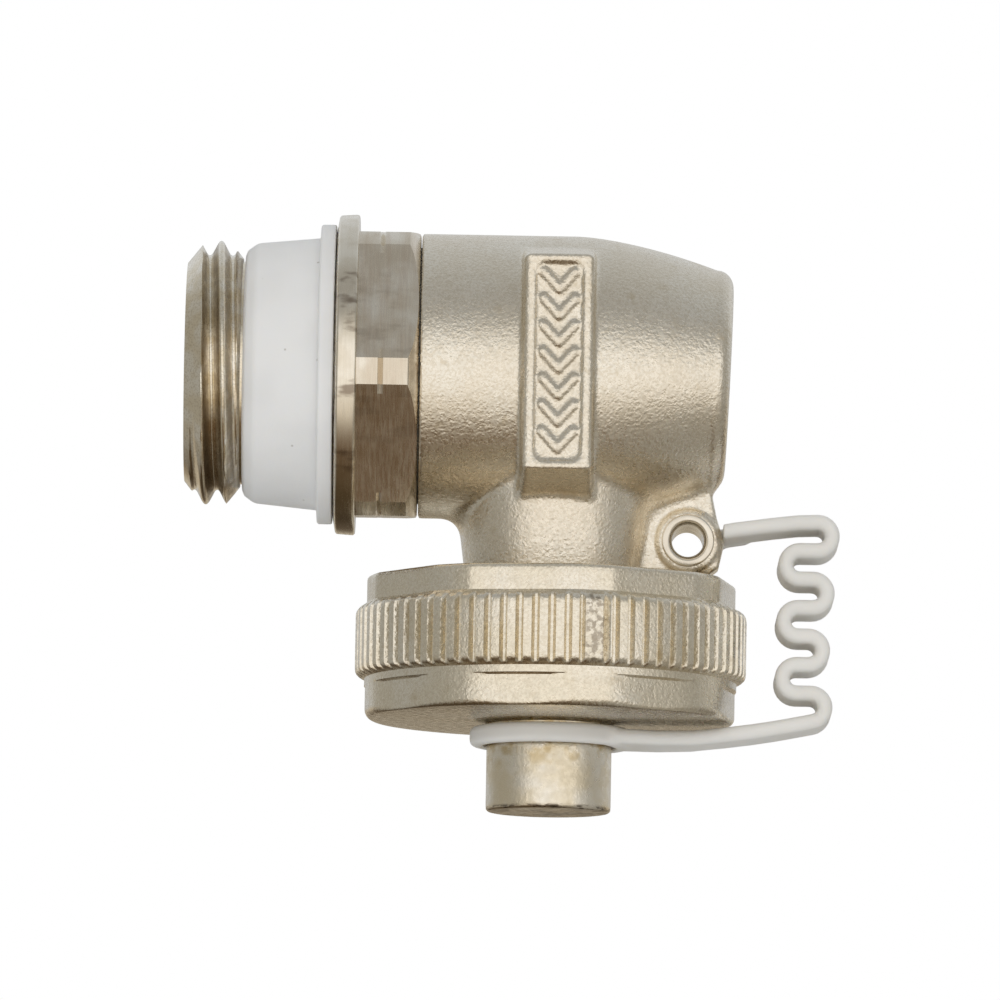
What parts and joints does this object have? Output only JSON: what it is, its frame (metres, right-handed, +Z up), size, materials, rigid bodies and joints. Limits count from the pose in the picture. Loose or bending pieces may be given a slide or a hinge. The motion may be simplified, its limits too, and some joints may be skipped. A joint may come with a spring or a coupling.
{
  "type": "fill and drain valve",
  "caption": "Angled self-sealing fill and drain valve that swivels on its threaded nipple, with a knurled outlet cap on a folded plastic strap.",
  "frame": {"origin": "on the nipple's axis, in the plane where the sealing collar's flange meets the port's face", "axes": "+X along the nipple's axis from its thread towards the key end, +Z up with the outlet pointing down along -Z, +Y away from the name plate's side"},
  "size_m": [0.0517, 0.031, 0.0473],
  "materials": {
    "plated_cast": "grit-blasted casting, nickel plated",
    "plated_turned": "fine turned, nickel plated",
    "white_plastic": "moulded, semi-matt",
    "natural_plastic": "turned acetal",
    "black_rubber": "moulded",
    "spring_steel": "bright",
    "brass": "turned",
    "red_fibre": "pressed fibre sheet"
  },
  "bodies": {
    "nipple": {"threaded_nipple": "plated_turned", "sealing_collar": "white_plastic", "swivel_slide_washer": "natural_plastic", "swivel_o_ring_front": "black_rubber", "swivel_retaining_ring": "spring_steel", "swivel_o_ring_rear": "black_rubber"},
    "valve_body": {"valve_body": "plated_cast", "stem_stop_ring": "spring_steel", "strap_rivet": "plated_turned", "rivet_washer": "plated_turned"},
    "disc_carrier": {"disc_holder": "brass", "disc_seal": "black_rubber", "disc_screw": "spring_steel", "disc_clip": "spring_steel"},
    "stem": {"valve_stem": "brass", "stem_o_ring_front": "black_rubber", "stem_o_ring_rear": "black_rubber"},
    "strap_end": {"strap": "white_plastic"},
    "cap": {"outlet_cap": "plated_cast", "cap_seal": "red_fibre"}
  },
  "joints": [
    {"name": "body_swivel", "type": "hinge", "parent": "nipple", "child": "valve_body", "pos_m": [0, 0, 0], "axis": [1, 0, 0], "continuous": true},
    {"name": "disc_lift", "type": "slide", "parent": "valve_body", "child": "disc_carrier", "axis": [1, 0, 0], "range_m": [0, 0.0022]},
    {"name": "stem_turn", "type": "hinge", "parent": "disc_carrier", "child": "stem", "pos_m": [0, 0, 0], "axis": [1, 0, 0], "range_deg": [0, 793]},
    {"name": "cap_lift", "type": "slide", "parent": "valve_body", "child": "strap_end", "axis": [0, 0, -1], "range_m": [0, 0.0092], "deforming": ["strap"]},
    {"name": "cap_turn", "type": "hinge", "parent": "strap_end", "child": "cap", "pos_m": [0.0188, 0, 0], "axis": [0, 0, -1], "range_deg": [0, 1800]}
  ],
  "couplings": [
    {"joint": "stem_turn", "follows": "disc_lift", "rad_per_m": 6283.2},
    {"joint": "cap_lift", "follows": "cap_turn", "m_per_rad": 0.00028871}
  ]
}
